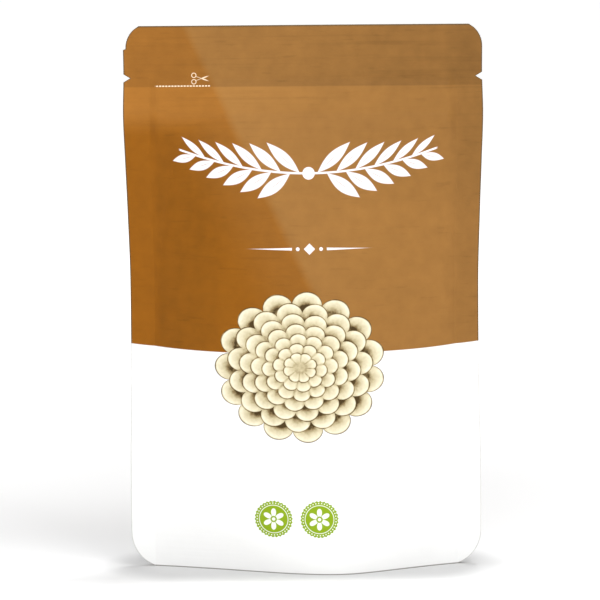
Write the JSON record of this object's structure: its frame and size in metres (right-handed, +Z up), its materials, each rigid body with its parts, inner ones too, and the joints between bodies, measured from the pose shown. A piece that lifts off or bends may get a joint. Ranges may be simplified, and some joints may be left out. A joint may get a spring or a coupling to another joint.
{
  "type": "stand-up pouch",
  "caption": "Sealed stand-up pouch of printed laminate film with a folded bottom gusset, a press-to-close zip and tear notches, holding shelled moringa kernels.",
  "frame": {"origin": "on the surface that the pouch stands on, under the middle of its bounding box", "axes": "+X across the pouch, to the right of somebody facing its printed front; -Y the way the front panel faces; +Z up, from the bottom gusset to the sealed top edge"},
  "size_m": [0.1302, 0.0408, 0.198],
  "materials": {
    "front_panel": "satin laminate film, printed brown above and white below",
    "back_panel": "satin laminate film, printed brown above and white below",
    "bottom_gusset": "satin laminate film, printed white",
    "zip_rib_strip": "translucent white polyethylene",
    "zip_groove_strip": "translucent white polyethylene",
    "kernels": "dry, matt cream-coloured seed kernels"
  },
  "bodies": {
    "root": {"front_panel": "front_panel", "back_panel": "back_panel", "bottom_gusset": "bottom_gusset", "zip_rib_strip": "zip_rib_strip", "zip_groove_strip": "zip_groove_strip", "kernels": "kernels"}
  },
  "joints": []
}
